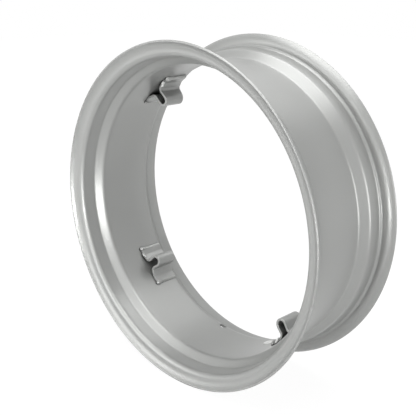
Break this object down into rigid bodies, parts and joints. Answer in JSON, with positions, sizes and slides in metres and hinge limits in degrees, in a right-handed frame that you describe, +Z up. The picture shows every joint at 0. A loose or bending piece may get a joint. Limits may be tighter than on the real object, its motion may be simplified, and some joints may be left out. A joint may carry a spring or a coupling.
{
  "type": "tractor wheel rim",
  "caption": "Drop-centre steel wheel rim for a farm tractor tyre, with bent loop lugs welded inside the well for the bolts of the wheel disc.",
  "frame": {"origin": "middle of the rim, on the axle line", "axes": "+Y along the axle line from the front flange to the rear one, towards the lugs' side; +Z up"},
  "size_m": [0.6603, 0.2298, 0.6604],
  "materials": {
    "rim_paint": "semi-gloss silver",
    "lug_paint": "semi-gloss silver",
    "weld_paint": "semi-gloss silver"
  },
  "bodies": {
    "root": {"rim": "rim_paint", "loop_lug_1": "lug_paint", "loop_lug_2": "lug_paint", "loop_lug_3": "lug_paint", "loop_lug_4": "lug_paint", "lug_welds_1": "weld_paint", "lug_welds_2": "weld_paint", "lug_welds_3": "weld_paint", "lug_welds_4": "weld_paint"}
  },
  "joints": []
}
